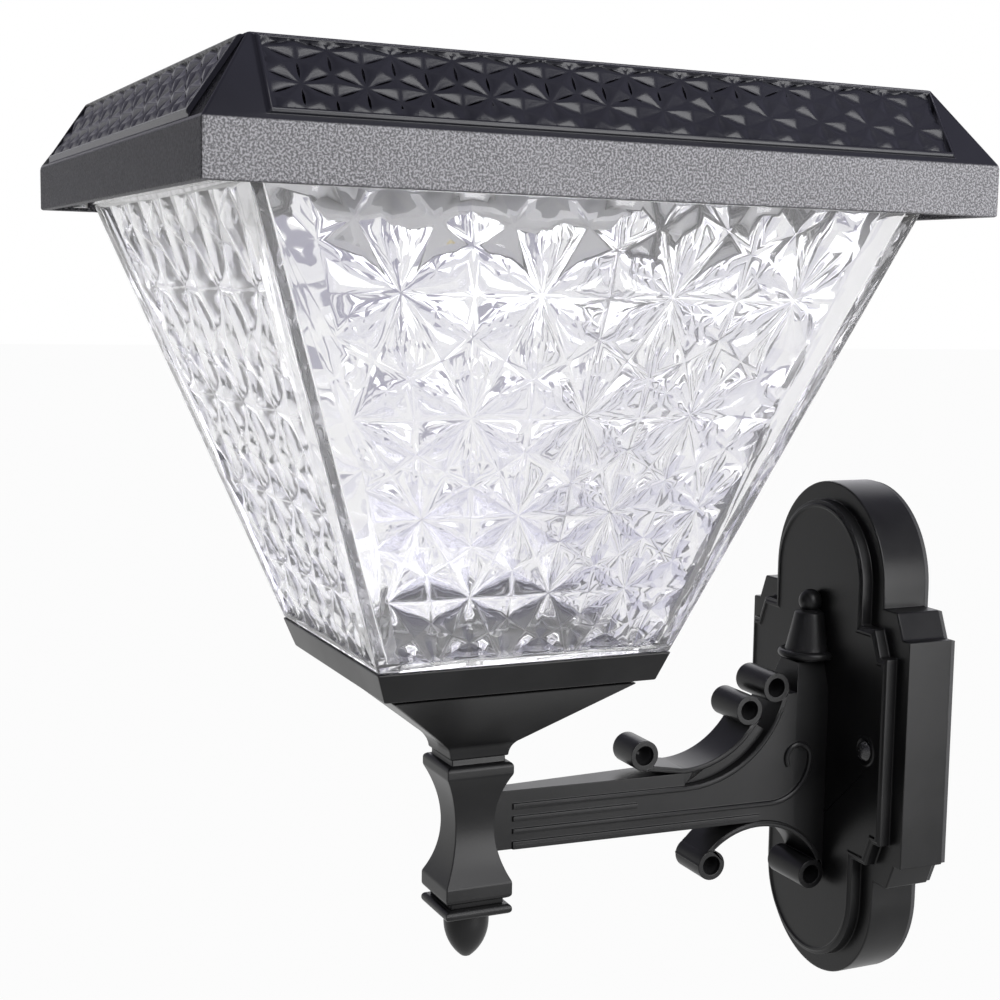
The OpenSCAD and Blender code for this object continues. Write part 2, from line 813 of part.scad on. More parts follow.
// One rolled strip end, seen from the side: [y, z] of its centre
module curl(at, half) {
    along_x(-half, half) translate(at) {
        difference() {
            circle(r = curl_r);
            circle(r = curl_r - strip_t);
        }
        circle(r = eye_r);
    }
    along_x(-half + curl_recess, half - curl_recess) translate(at) circle(r = curl_r - strip_t + 0.01);
}

function curl_b() = [
    upper_sweep_y + (upper_sweep_r + strip_t - curl_r) * sin(upper_angle),
    -upper_sweep_drop - (upper_sweep_r + strip_t - curl_r) * cos(upper_angle)
];
function curl_c() = [
    middle_y + (middle_r + strip_t - curl_r) * sin(middle_angle),
    -upper_sweep_drop - (middle_r + strip_t - curl_r) * cos(middle_angle)
];

module upper_strip_outline() {
    translate([upper_sweep_y, -upper_sweep_drop])
        ring_part(upper_sweep_r + strip_t, strip_t, -90, upper_angle - 90);
    polygon([
        [curl_a[0], -beam_drop + curl_lift], [upper_sweep_y, -beam_drop],
        [upper_sweep_y, -beam_drop + strip_t], [curl_a[0], -beam_drop + curl_lift + strip_t]
    ]);
}

module upper_scroll() {
    color("#242426") at_lamp() {
        difference() {
            intersection() {
                along_x(-big / 4, big / 4) upper_strip_outline();
                arm_plan(0);
            }
            for (c = [curl_a, curl_b()]) along_x(-big / 4, big / 4) translate(c) circle(r = curl_r - 0.01);
        }
        curl(curl_a, arm_half(curl_a[0], 0));
        curl(curl_b(), arm_half(curl_b()[0], 0));
    }
}

module middle_strip_outline() {
    translate([middle_y, -upper_sweep_drop])
        ring_part(middle_r + strip_t, strip_t, -90, middle_angle - 90);
}

module middle_scroll() {
    color("#242426") at_lamp() {
        difference() {
            intersection() {
                along_x(-big / 4, big / 4) middle_strip_outline();
                arm_plan(0);
            }
            along_x(-big / 4, big / 4) translate(curl_c()) circle(r = curl_r - 0.01);
        }
        curl(curl_c(), arm_half(curl_c()[0], 0));
    }
}

module lower_strip_outline() {
    translate([arch_y, -arch_drop]) ring_part(arch_r, strip_t, arch_from_angle, arch_to_angle);
}

module lower_scroll() {
    color("#242426") at_lamp() {
        difference() {
            intersection() {
                along_x(-big / 4, big / 4) lower_strip_outline();
                arm_plan(0);
            }
            for (c = [curl_d, curl_e]) along_x(-big / 4, big / 4) translate(c) circle(r = curl_r - 0.01);
        }
        curl(curl_d, arm_half(curl_d[0], 0));
        curl(curl_e, arm_half(curl_e[0], 0));
    }
}

// Beam, and the web between the middle strip, the column and the lower arch
module web_outline() {
    difference() {
        translate([0, -beam_foot - arch_r]) square([column_y + 0.01, beam_foot + arch_r - column_drop]);
        translate([0, -beam_drop]) square([middle_y, big]);
        intersection() {
            translate([middle_y, -upper_sweep_drop]) circle(r = middle_r, $fn = 128);
            translate([middle_y, -big]) square(2 * big);
        }
        translate([0, -beam_foot - big]) square([arch_y, big]);
        translate([arch_y, -arch_drop]) circle(r = arch_r, $fn = 128);
    }
}

// Floor of the groove between the upper and the middle strip
module groove_outline() {
    difference() {
        translate([middle_y, -upper_sweep_drop])
            ring_part(middle_r + 0.01, strip_gap + middle_shift + 0.1, -90.5, groove_angle - 90);
        translate([upper_sweep_y, -upper_sweep_drop]) circle(r = upper_sweep_r + strip_t, $fn = 128);
    }
}

// Reeds along the beam's side: distance of the upper edge below the beam's top, height, and end
module reeds_outline() {
    reeds = [
        [strip_gap, strip_t, middle_y],
        [strip_gap + reed_pitch, reed_h, second_reed_end],
        [beam_h - foot_reed_h, foot_reed_h, arch_y]
    ];
    for (reed = reeds) translate([beam_start(), -beam_drop - reed[0] - reed[1]])
        square([reed[2] - beam_start(), reed[1]]);
}

module column_outline() {
    difference() {
        translate([column_y, -arch_drop]) square([column_d, arch_drop - column_drop]);
        translate([arch_y, -arch_drop]) circle(r = arch_r, $fn = 128);
    }
}

// The raised line that sweeps along the web and turns over into an open hook
module hook_outline() {
    end_y = column_y - hook_from_column;
    translate([beam_start(), -hook_drop]) square([end_y - beam_start(), hook_line_t]);
    translate([end_y, -hook_drop + hook_sweep_r]) {
        ring_part(hook_sweep_r, hook_line_t, -90, 0);
        translate([hook_sweep_r - hook_turn_r, 0])
            ring_part(hook_turn_r, hook_line_t, 0, hook_turn_angle);
    }
}

function beam_start() = post_waist_w / 2 + 6;

module column_neck() {
    taper_x = 0.62;
    taper_y = 0.66;
    foot_x = column_w / 2;
    foot_y = column_d / 2 - 0.2;
    top_x = foot_x * taper_x;
    top_y = foot_y * taper_y;
    centre = column_y + column_d / 2;
    intersection() {
        along_y(column_y, column_y + column_d) polygon([
            [-foot_x, -column_drop], [foot_x, -column_drop],
            [top_x, -column_drop + column_neck_h], [-top_x, -column_drop + column_neck_h]
        ]);
        along_x(-column_w, column_w) polygon([
            [centre - foot_y, -column_drop], [column_y + column_d, -column_drop],
            [column_y + column_d, -column_drop + column_neck_h],
            [centre - top_y, -column_drop + column_neck_h]
        ]);
    }
}

module arm_solid() {
    intersection() {
        along_x(-big / 4, big / 4) web_outline();
        arm_plan(web_inset);
    }
    intersection() {
        along_x(-big / 4, big / 4) groove_outline();
        arm_plan(groove_inset);
    }
    intersection() {
        along_x(-big / 4, big / 4) union() {
            reeds_outline();
            hook_outline();
        }
        arm_plan(web_inset - reed_proud);
    }
    along_x(-column_w / 2, column_w / 2) column_outline();
    column_neck();
}

module strips_outline() {
    upper_strip_outline();
    middle_strip_outline();
    lower_strip_outline();
    for (c = [curl_a, curl_b(), curl_c(), curl_d, curl_e]) translate(c) circle(r = curl_r);
}

module arm() {
    color("#242426") at_lamp() difference() {
        arm_solid();
        along_x(-big / 4, big / 4) strips_outline();
        post_solid();
        pin_holes(1 + thread_gap);
        for (z = column_screw_drops) translate([0, raised_y + cut, -z]) rotate([90, 0, 0])
            cylinder(h = column_screw_bite + 2 * cut, r = screw_r + thread_gap);
    }
}

module arm_pins() {
    color("#a8a8ac") at_lamp() for (z = pin_drops())
        translate([0, post_waist_w / 2 - 1.8, -z]) rotate([-90, 0, 0]) cylinder(h = 8.6, r = 1);
}

// Turned ring, bell and ball; the plate's face cuts off its back
module column_finial() {
    top = -column_drop + column_neck_h;
    axis_y = raised_y - 2.4;
    seat_r = 6;
    seat_h = 0.6;
    ring_r = 7.6;
    bead_r = 1.1;
    bell_foot_r = 6.7;
    bell_top_r = 4.3;
    bell_top = 13.2;
    neck_r = 2.6;
    neck_top = 14;
    ball_r = 3.3;
    bell_foot = seat_h + 2 * bead_r;
    color("#242426") at_lamp() intersection() {
        translate([0, axis_y, top]) rotate_extrude() {
            square([seat_r, seat_h]);
            translate([0, seat_h]) square([ring_r, 2 * bead_r]);
            translate([ring_r, seat_h + bead_r]) circle(r = bead_r);
            polygon([
                [0, bell_foot], [bell_foot_r, bell_foot], [bell_top_r, bell_top],
                [neck_r, neck_top], [0, neck_top]
            ]);
            intersection() {
                translate([0, neck_top + ball_r - 0.9]) circle(r = ball_r);
                square([2 * ball_r, neck_top + 2 * ball_r]);
            }
        }
        translate([-big / 2, raised_y - big, top]) cube(big);
    }
}

// Wall plate

module plate_outline(inset) {
    end_at = plate_h / 2 - plate_end_r;
    wide_top = plate_wide_z + plate_wide_h / 2;
    wide_foot = plate_wide_z - plate_wide_h / 2;
    shoulder = plate_shoulder_w / 2;
    for (s = [-1, 1]) translate([0, s * end_at]) circle(r = plate_end_r - inset, $fn = 128);
    translate([-plate_end_r + inset, -end_at]) square([2 * (plate_end_r - inset), 2 * end_at]);
    translate([-plate_w / 2 + inset, wide_foot + inset])
        square([plate_w - 2 * inset, plate_wide_h - 2 * inset]);
    polygon([
        [-shoulder + 2 + inset, wide_foot - plate_shoulder_h + inset],
        [shoulder - 2 - inset, wide_foot - plate_shoulder_h + inset],
        [shoulder + 1 - inset, wide_foot + inset], [shoulder + 1 - inset, wide_top - inset],
        [shoulder - 2 - inset, wide_top + plate_shoulder_h - inset],
        [-shoulder + 2 + inset, wide_top + plate_shoulder_h - inset],
        [-shoulder - 1 + inset, wide_top - inset], [-shoulder - 1 + inset, wide_foot + inset]
    ]);
}

module plate_screw_holes(r, h) {
    for (s = [-1, 1]) translate([s * dome_pitch / 2, 0, 0]) rotate([90, 0, 0]) cylinder(h = h, r = r);
}

module column_screw_holes(r, h) {
    for (z = column_screw_drops) translate([0, 0, rim_z - z]) rotate([90, 0, 0]) cylinder(h = h, r = r);
}

module wall_plate() {
    front = plate_d + panel_rise;
    color("#262628") difference() {
        union() {
            difference() {
                union() {
                    along_y(-plate_d, -gasket_t) plate_outline(0);
                    along_y(-front, -plate_d + 0.01) plate_outline(panel_inset);
                }
                along_y(-plate_d + plate_wall, cut) plate_outline(plate_wall);
                along_y(-front + plate_wall, cut) plate_outline(panel_inset + plate_wall);
            }
            translate([0, -front + plate_wall + plate_boss_h, 0])
                plate_screw_holes(plate_boss_r, plate_boss_h + 1);
        }
        translate([0, cut, 0]) plate_screw_holes(dome_screw_r + gap, big / 4);
        translate([0, cut, 0]) column_screw_holes(screw_r + gap, big / 4);
    }
}

module wall_gasket() {
    color("#333335") along_y(-gasket_t, 0) difference() {
        plate_outline(0.4);
        plate_outline(plate_wall);
    }
}

module mounting_strap() {
    color("#b4b4b8") difference() {
        union() {
            translate([-dome_pitch / 2 - strap_end, -strap_t, -strap_h / 2])
                cube([dome_pitch + 2 * strap_end, strap_t, strap_h]);
            plate_screw_holes(plate_boss_r, strap_t + strap_boss_h);
        }
        translate([0, cut, 0])
            plate_screw_holes(dome_screw_r + thread_gap, strap_t + strap_boss_h + 2 * cut);
        for (s = [-1, 1]) translate([s * wall_hole_pitch / 2, cut, 0]) rotate([90, 0, 0])
            cylinder(h = strap_t + 2 * cut, r = wall_hole_r);
    }
}

module strap_screws() {
    front = plate_d + panel_rise;
    dome_sphere = (dome_r * dome_r + dome_h * dome_h) / 2 / dome_h;
    color("#3a3a3c") for (s = [-1, 1]) translate([s * dome_pitch / 2, -front, 0]) rotate([90, 0, 0]) {
        intersection() {
            translate([0, 0, dome_h - dome_sphere]) sphere(r = dome_sphere);
            cylinder(h = dome_h + 1, r = dome_r);
        }
        translate([0, 0, -front + 0.5]) cylinder(h = front - 0.5 + 0.01, r = dome_screw_r);
    }
}

module column_screws() {
    inner = plate_d + panel_rise - plate_wall;
    color("#9a9a9e") translate([0, -inner, 0]) for (z = column_screw_drops)
        translate([0, 0, rim_z - z]) rotate([90, 0, 0])
            screw_up(screw_r, plate_wall + column_screw_bite, screw_head_r, screw_head_h);
}

cap_shell();
panel_glass();
solar_cells();
panel_backing();
panel_seal();
cap_base();
base_screws();
battery_holder();
battery_cells();
control_board();
board_parts();
board_screws();
led_board();
leds();
led_screws();
reflector();
switch_body();
push_button();
button_collar();
shade();
shade_seal();
shade_screws();
tray();
tray_seal();
cup();
cup_screws();
tie_rod();
tie_nut();
tie_washer();
post();
foot_plate();
acorn_finial();
arm();
arm_pins();
upper_scroll();
middle_scroll();
lower_scroll();
column_finial();
wall_plate();
column_screws();
mounting_strap();
strap_screws();
wall_gasket();
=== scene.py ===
import json
import math

import bmesh
import bpy
from mathutils import Matrix, Vector
from mathutils.bvhtree import BVHTree


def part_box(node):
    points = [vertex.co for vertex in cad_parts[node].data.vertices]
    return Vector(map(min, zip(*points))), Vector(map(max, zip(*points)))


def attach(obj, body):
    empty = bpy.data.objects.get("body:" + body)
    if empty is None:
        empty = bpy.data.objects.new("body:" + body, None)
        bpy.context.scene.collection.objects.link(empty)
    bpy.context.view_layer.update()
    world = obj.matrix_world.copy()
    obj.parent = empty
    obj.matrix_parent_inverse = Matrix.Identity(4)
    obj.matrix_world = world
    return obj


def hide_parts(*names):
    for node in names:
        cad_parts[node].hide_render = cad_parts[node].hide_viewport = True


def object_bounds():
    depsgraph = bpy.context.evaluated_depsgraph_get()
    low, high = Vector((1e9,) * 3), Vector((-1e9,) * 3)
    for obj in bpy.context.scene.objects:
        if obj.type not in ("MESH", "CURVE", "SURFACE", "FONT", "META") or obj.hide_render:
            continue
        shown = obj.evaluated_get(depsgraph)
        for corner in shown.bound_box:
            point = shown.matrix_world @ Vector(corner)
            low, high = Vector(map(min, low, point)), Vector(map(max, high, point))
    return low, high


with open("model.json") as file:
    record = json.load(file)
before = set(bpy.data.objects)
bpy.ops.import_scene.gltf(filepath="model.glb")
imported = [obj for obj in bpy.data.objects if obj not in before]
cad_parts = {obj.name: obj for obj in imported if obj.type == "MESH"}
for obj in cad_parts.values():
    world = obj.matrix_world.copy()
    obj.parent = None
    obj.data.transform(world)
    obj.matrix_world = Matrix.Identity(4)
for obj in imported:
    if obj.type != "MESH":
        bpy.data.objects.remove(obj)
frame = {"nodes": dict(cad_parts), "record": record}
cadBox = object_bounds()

print("frame loaded:", len(frame["nodes"]), "nodes")

# Places worked out from the frame
capLow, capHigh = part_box("cap_shell")
lampAxis = Vector(((capLow.x + capHigh.x) / 2, (capLow.y + capHigh.y) / 2, 0))  # axis of cap, shade and cup

mm = 0.001


# Camera, lights and stage

cameraSettings = {
    "azimuth": 63.4,       # degrees round from the -Y side
    "elevation": 6.85,
    "roll": 1.25,
    "place": (0.4059, -0.2909, 0.1225),
    "lens": 62.74,
    "shift": -0.1,
}


def makeCamera(s):
    data = bpy.data.cameras.new("camera")
    data.lens = s["lens"]
    data.shift_x = s["shift"]
    data.clip_start = 0.01
    camera = bpy.data.objects.new("camera", data)
    bpy.context.collection.objects.link(camera)
    turn = (Matrix.Rotation(math.radians(s["azimuth"]), 4, "Z")
            @ Matrix.Rotation(math.radians(90 - s["elevation"]), 4, "X")
            @ Matrix.Rotation(math.radians(s["roll"]), 4, "Z"))
    camera.matrix_world = Matrix.Translation(s["place"]) @ turn
    bpy.context.scene.camera = camera


makeCamera(cameraSettings)


# Shader maths: a Value wraps one socket, so that an expression adds its own nodes

class Value:
    def __init__(self, wires, socket):
        self.wires = wires
        self.socket = socket

    def maths(self, operation, *others):
        return self.wires.maths(operation, self, *others)

    def __add__(self, other): return self.maths("ADD", other)
    def __radd__(self, other): return self.maths("ADD", other)
    def __sub__(self, other): return self.maths("SUBTRACT", other)
    def __rsub__(self, other): return self.wires.maths("SUBTRACT", other, self)
    def __mul__(self, other): return self.maths("MULTIPLY", other)
    def __rmul__(self, other): return self.maths("MULTIPLY", other)
    def __truediv__(self, other): return self.maths("DIVIDE", other)
    def __lt__(self, other): return self.maths("LESS_THAN", other)

    def between(self, low, high):  # 0 below low, 1 above high, smooth in between
        settings = {"interpolation_type": "SMOOTHSTEP"}
        return self.wires.add("MapRange", settings, {"Value": self, "From Min": low, "From Max": high})


class Wires:  # adds nodes to one tree, a material's or the world's
    def __init__(self, tree):
        self.nodes = tree.nodes
        self.links = tree.links

    def plug(self, socket, value):
        if isinstance(value, Value):
            self.links.new(value.socket, socket)
        elif socket.type == "RGBA" and len(value) == 3:
            socket.default_value = (*value, 1)
        else:
            socket.default_value = value

    def add(self, kind, settings=None, inputs=None, output=0):
        node = self.nodes.new("ShaderNode" + kind)
        settings = dict(settings or {})
        stops = settings.pop("stops", None)
        for setting, value in settings.items():
            setattr(node, setting, value)
        if stops:
            ramp = node.color_ramp.elements
            while len(ramp) < len(stops):
                ramp.new(1)
            for element, (at, colour) in zip(ramp, stops):
                element.position = at
                element.color = (*colour, 1)
        for socket, value in (inputs or {}).items():
            self.plug(node.inputs[socket], value)
        return Value(self, node.outputs[output])

    def maths(self, operation, *values):
        return self.add("Math", {"operation": operation}, dict(enumerate(values)))

    def split(self, vector):
        x = self.add("SeparateXYZ", {}, {0: vector})
        return [Value(self, x.socket.node.outputs[axis]) for axis in "XYZ"]

    def mix(self, factor, first, second):
        return self.add("Mix", {"data_type": "RGBA"}, {0: factor, 6: first, 7: second}, output=2)

    def shownRays(self):  # 1 for rays from the camera, and for those off gloss or through glass
        camera = self.add("LightPath", output="Is Camera Ray")
        shown = camera
        for ray in ("Is Glossy Ray", "Is Transmission Ray"):
            shown = shown.maths("MAXIMUM", Value(self, camera.socket.node.outputs[ray]))
        return camera, shown


class Paint(Wires):
    def __init__(self, name, **constants):
        self.material = bpy.data.materials.new(name)
        self.material.use_nodes = True
        super().__init__(self.material.node_tree)
        self.shader = self.nodes["Principled BSDF"]
        self.output = self.nodes["Material Output"]
        for socket, value in constants.items():
            self.shader.inputs[socket.replace("_", " ")].default_value = value

    def place(self):
        return self.add("TexCoord", output="Object")

    def axes(self):
        return self.split(self.place())

    def noise(self, size, detail=2, roughness=0.5):  # size in metres
        inputs = {"Vector": self.place(), "Scale": 1 / size, "Detail": detail, "Roughness": roughness}
        return self.add("TexNoise", {}, inputs)

    def ramp(self, value, *stops):
        return self.add("ValToRGB", {"stops": stops}, {0: value})

    def bump(self, height, distance, strength=1.0):
        return self.add("Bump", {}, {"Height": height, "Distance": distance, "Strength": strength})

    def wear(self, **values):  # plugs what changes over the surface into the shader
        for socket, value in values.items():
            self.plug(self.shader.inputs[socket.replace("_", " ")], value)
        return self.material


capFinish = {"rimTop": capLow.z + 11.3 * mm, "grainSize": 0.45 * mm}


def capPlastic(s):  # grained on the rim, polished on the pressed roof above it
    paint = Paint("charcoal_grain", IOR=1.46, Specular_IOR_Level=0.12, Coat_Roughness=0.24)
    x, y, z = paint.axes()
    roof = z.between(s["rimTop"] - 0.3 * mm, s["rimTop"] + 0.3 * mm)
    grain = paint.noise(s["grainSize"], detail=3, roughness=0.65)
    cloud = paint.noise(28 * mm, detail=3)
    fleck = grain.between(0.44, 0.60)
    rim = paint.ramp(0.75 * fleck + 0.25 * cloud, (0.1, (0.110, 0.109, 0.116)), (0.8, (0.320, 0.317, 0.335)))
    polished = paint.ramp(cloud, (0.3, (0.008, 0.008, 0.012)), (0.7, (0.014, 0.014, 0.020)))
    colour = paint.mix(roof, rim, polished)
    roughness = (0.44 + 0.16 * grain) * (1 - roof) + (0.30 + 0.12 * grain) * roof
    height = grain * (1 - 0.6 * roof)
    return paint.wear(Base_Color=colour, Roughness=roughness, Coat_Weight=0.38 * roof,
                      Normal=paint.bump(height, 0.10 * mm, 0.8))


def bracketCoat():
    paint = Paint("satin_black_coat", IOR=1.45, Specular_IOR_Level=0.24)
    peel = paint.noise(0.9 * mm, detail=2)
    cloud = paint.noise(17 * mm, detail=4)
    colour = paint.ramp(cloud, (0.35, (0.006, 0.006, 0.0065)), (0.7, (0.012, 0.012, 0.0125)))
    return paint.wear(Base_Color=colour, Roughness=0.27 + 0.14 * cloud,
                      Normal=paint.bump(peel, 0.02 * mm, 0.6))


# Painted shade: facets that lean up are painted darker between these heights, and all of the way darker
# below the lower one, standing in for dark parts seen through the glass
paintedShadeBand = {"deepBelow": capLow.z - 85 * mm, "clearAbove": capLow.z - 40 * mm}


def clearShade(s):
    paint = Paint("pressed_clear", IOR=1.53, Transmission_Weight=0.94)
    ripple = paint.noise(5 * mm, detail=1)
    lean = paint.add("Attribute", {"attribute_name": "lean"}, output=2)  # how far a facet leans up or down
    x, y, z = paint.axes()
    deep = 1 - z.between(s["deepBelow"], s["clearAbove"])
    leanUp, leanDown = lean.between(0.02, 0.20), (0 - lean).between(0.02, 0.30)
    clear = paint.ramp(ripple, (0.3, (0.985, 0.982, 0.995)), (0.7, (0.998, 0.997, 1.0)))
    # Painted shade: up-leaning facets are painted lavender grey, more strongly lower down, and down-leaning
    # ones a faint grey, in place of dark parts seen through the glass
    paintedShadeColour = paint.mix(leanUp * (0.45 + 0.55 * deep), clear, (0.61, 0.60, 0.73))
    paintedShadeColour = paint.mix(leanDown, paintedShadeColour, (0.93, 0.92, 0.98))
    return paint.wear(Base_Color=paintedShadeColour, Roughness=0.015 + 0.02 * ripple,
                      Normal=paint.bump(ripple, 0.1 * mm, 0.5))


def plainPaint(name, first, second, grainSize, roughness, bumpHeight, **constants):
    paint = Paint(name, **constants)
    grain = paint.noise(grainSize, detail=3)
    colour = paint.ramp(grain, (0.3, first), (0.7, second))
    return paint.wear(Base_Color=colour, Roughness=roughness + 0.1 * grain,
                      Normal=paint.bump(grain, bumpHeight, 0.5))


def zincSteel():
    paint = Paint("zinc_steel", Metallic=1.0)
    brushed = paint.noise(0.35 * mm, detail=4)
    cloud = paint.noise(4 * mm, detail=2)
    colour = paint.ramp(cloud, (0.3, (0.46, 0.47, 0.48)), (0.7, (0.62, 0.62, 0.6)))
    return paint.wear(Base_Color=colour, Roughness=0.28 + 0.2 * brushed,
                      Normal=paint.bump(brushed, 0.02 * mm, 0.5))


solarCellSettings = {"cellPitch": 21.8 * mm, "gap": 0.5 * mm, "busbar": 0.7 * mm,
                     "finger": 0.12 * mm, "fingerPitch": 1.5 * mm}


def solarCells(s):
    paint = Paint("solar_cells", Coat_Weight=0.6)
    x, y, z = paint.axes()
    x, y = x - lampAxis.x, y - lampAxis.y
    cell = paint.noise(3 * mm, detail=4)
    silicon = paint.ramp(cell, (0.3, (0.006, 0.010, 0.035)), (0.7, (0.012, 0.020, 0.060)))

    def lines(axis, pitch, width):
        nearest = axis.maths("PINGPONG", pitch / 2)
        return nearest < width / 2
    gaps = lines(x, s["cellPitch"], s["gap"]).maths("MAXIMUM", lines(y, s["cellPitch"], s["gap"]))
    fingers = lines(y + s["cellPitch"] / 4, s["fingerPitch"], s["finger"])
    busbars = lines(x + s["cellPitch"] / 4, s["cellPitch"] / 2, s["busbar"])
    silver = busbars.maths("MAXIMUM", fingers * 0.5)
    colour = paint.mix(silver, silicon, (0.55, 0.56, 0.58))
    colour = paint.mix(gaps, colour, (0.80, 0.81, 0.82))
    return paint.wear(Base_Color=colour, Roughness=0.32 + 0.1 * cell, Metallic=0.8 * silver)


def panelFront():
    paint = Paint("panel_front", IOR=1.5, Transmission_Weight=0.9, Coat_Weight=0.3)
    wave = paint.noise(12 * mm, detail=1)
    colour = paint.ramp(wave, (0.3, (0.62, 0.68, 0.80)), (0.7, (0.70, 0.75, 0.86)))
    return paint.wear(Base_Color=colour, Roughness=0.03 + 0.03 * wave)


def boardGreen():
    paint = Paint("board_green", Coat_Weight=0.4)
    x, y, z = paint.axes()
    cells = paint.add("TexVoronoi", {"distance": "MANHATTAN", "feature": "DISTANCE_TO_EDGE"},
                      {"Vector": paint.place(), "Scale": 1 / (3.4 * mm)})
    track = cells.between(0.05, 0.09)
    colour = paint.mix(track, (0.06, 0.22, 0.10), (0.016, 0.09, 0.035))
    return paint.wear(Base_Color=colour, Roughness=0.4 - 0.1 * track,
                      Normal=paint.bump(track, 0.03 * mm, 0.4))


# Finishes with one fine grain: first and second colour, grain size, roughness, height of the bump
plainFinishes = {
    "dome_screw_coat": ((0.018, 0.018, 0.019), (0.030, 0.030, 0.032), 0.60 * mm, 0.22, 0.010 * mm),
    "white_plastic": ((0.780, 0.780, 0.790), (0.840, 0.840, 0.850), 0.80 * mm, 0.28, 0.015 * mm),
    "seal_rubber": ((0.025, 0.025, 0.026), (0.040, 0.040, 0.042), 0.50 * mm, 0.62, 0.030 * mm),
    "clear_seal": ((0.550, 0.550, 0.570), (0.660, 0.660, 0.680), 1.20 * mm, 0.40, 0.020 * mm),
    "white_board": ((0.800, 0.800, 0.780), (0.870, 0.870, 0.850), 1.50 * mm, 0.30, 0.010 * mm),
    "part_black": ((0.018, 0.018, 0.019), (0.035, 0.035, 0.037), 0.40 * mm, 0.45, 0.030 * mm),
    "diode_yellow": ((0.800, 0.620, 0.160), (0.920, 0.780, 0.300), 0.30 * mm, 0.25, 0.010 * mm),
    "cell_sleeve": ((0.030, 0.250, 0.070), (0.050, 0.330, 0.100), 2.50 * mm, 0.20, 0.020 * mm),
    "button_grey": ((0.090, 0.090, 0.100), (0.130, 0.130, 0.140), 0.35 * mm, 0.42, 0.030 * mm),
}

finishes = {slot: plainPaint(slot, *values) for slot, values in plainFinishes.items()}
finishes.update({
    "cap_plastic": capPlastic(capFinish),
    "bracket_coat": bracketCoat(),
    "clear_shade": clearShade(paintedShadeBand),
    "panel_front": panelFront(),
    "cell_blue": solarCells(solarCellSettings),
    "zinc_steel": zincSteel(),
    "board_green": boardGreen(),
})

slotOf = {row["node"]: row["material_slot"] for row in frame["record"]["subparts"]}
bodyOf = {node: body for body, nodes in frame["record"]["behaviour"]["bodies"].items() for node in nodes}

for name, node in frame["nodes"].items():
    node.data.materials.clear()
    node.data.materials.append(finishes[slotOf[name]])

print("finishes made:", len(finishes))


# Pieces that stand for a CAD node, with softened edges and more detail

weldGap = 0.035 * mm
flatAngle = math.radians(0.05)
sharpAngle = math.radians(28)


def openEdges(bm):
    return sum(len(edge.link_faces) != 2 for edge in bm.edges)


def onlyVerts(made):
    return [part for part in made if isinstance(part, bmesh.types.BMVert)]


def onlyEdges(made):
    return [part for part in made if isinstance(part, bmesh.types.BMEdge)]


def mergedCopy(node):
    bm = bmesh.new()
    bm.from_mesh(frame["nodes"][node].data)
    bmesh.ops.remove_doubles(bm, verts=bm.verts, dist=weldGap)
    bmesh.ops.dissolve_limit(bm, angle_limit=flatAngle, verts=bm.verts, edges=bm.edges)
    return bm


def soften(bm, width, segments=2):
    sharp = [e for e in bm.edges if len(e.link_faces) == 2 and e.calc_face_angle(0) > sharpAngle]
    hard = BVHTree.FromBMesh(bm)
    bmesh.ops.bevel(bm, geom=sharp, offset=width, segments=segments, profile=0.5, affect="EDGES",
                    material=-1, clamp_overlap=False, loop_slide=True)
    for vert in bm.verts:  # points that the bevel threw off at a thin corner go back to the hard form
        nearest, normal, index, distance = hard.find_nearest(vert.co)
        if distance > width:
            vert.co = nearest
    for face in bm.faces:
        face.smooth = True


def finishPiece(bm, name, slot, body, replaced=()):
    mesh = bpy.data.meshes.new(name)
    bm.to_mesh(mesh)
    bm.free()
    mesh.set_sharp_from_angle(angle=sharpAngle)
    mesh.materials.append(finishes[slot])
    piece = bpy.data.objects.new(name, mesh)
    bpy.context.collection.objects.link(piece)
    weighted = piece.modifiers.new("weighted", "WEIGHTED_NORMAL")  # keeps flats flat beside their soft edges
    weighted.keep_sharp = True
    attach(piece, body)
    if replaced:
        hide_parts(*replaced)
    return piece


# One star: six leaf-shaped grooves run from its middle to the corners of its cell, and the ground
# between them rises to the middle of each side. It is drawn flat with a pitch of 1: x across,
# y down the face, z outwards.

def makeStar(s):
    bm = bmesh.new()
    reach = 1 / math.sqrt(3)
    side = Vector((0.5, math.sqrt(3) / 2, 0))  # towards the middle of a side

    def onGround(x, y):
        return Vector((x, y, s["rise"] * (4 * x - 1)))

    centre = bm.verts.new(onGround(0, 0))
    corner = bm.verts.new(onGround(0, reach))
    middle = bm.verts.new(side / 2)
    ribs, rails = [], []
    for step in range(1, s["steps"] + 1):
        along = step / (s["steps"] + 1)
        swell = math.sin(math.pi * along ** s["skew"])
        ribs.append(bm.verts.new(onGround(0, reach * along) - Vector((0, 0, s["groove"] * swell))))
        rails.append(bm.verts.new(onGround(s["leaf"] * swell, reach * along)))
    bm.faces.new([centre, rails[0], ribs[0]])
    for i in range(s["steps"] - 1):
        bm.faces.new([ribs[i], rails[i], rails[i + 1], ribs[i + 1]])
    bm.faces.new([ribs[-1], rails[-1], corner])
    bm.faces.new([centre, middle, corner] + rails[::-1])

    # The other half of the sector, then the five other sectors
    copy = bmesh.ops.duplicate(bm, geom=bm.verts[:] + bm.edges[:] + bm.faces[:])["geom"]
    halfTurn = Matrix.Scale(-1, 4, Matrix.Rotation(math.radians(-90), 3, "Z") @ side)
    bmesh.ops.transform(bm, matrix=halfTurn, verts=onlyVerts(copy))
    bmesh.ops.reverse_faces(bm, faces=[part for part in copy if isinstance(part, bmesh.types.BMFace)])
    bmesh.ops.spin(bm, geom=bm.verts[:] + bm.edges[:] + bm.faces[:], cent=(0, 0, 0), axis=(0, 0, 1),
                   dvec=(0, 0, 0), angle=math.radians(300), steps=5, use_duplicate=True)
    bmesh.ops.remove_doubles(bm, verts=bm.verts, dist=1e-5)
    mesh = bpy.data.meshes.new("star")
    bm.to_mesh(mesh)
    bm.free()
    return mesh


rowPitch = math.sqrt(3) / 2


# Stars in staggered rows, cut to a rectangle, with a wall round them up to the face

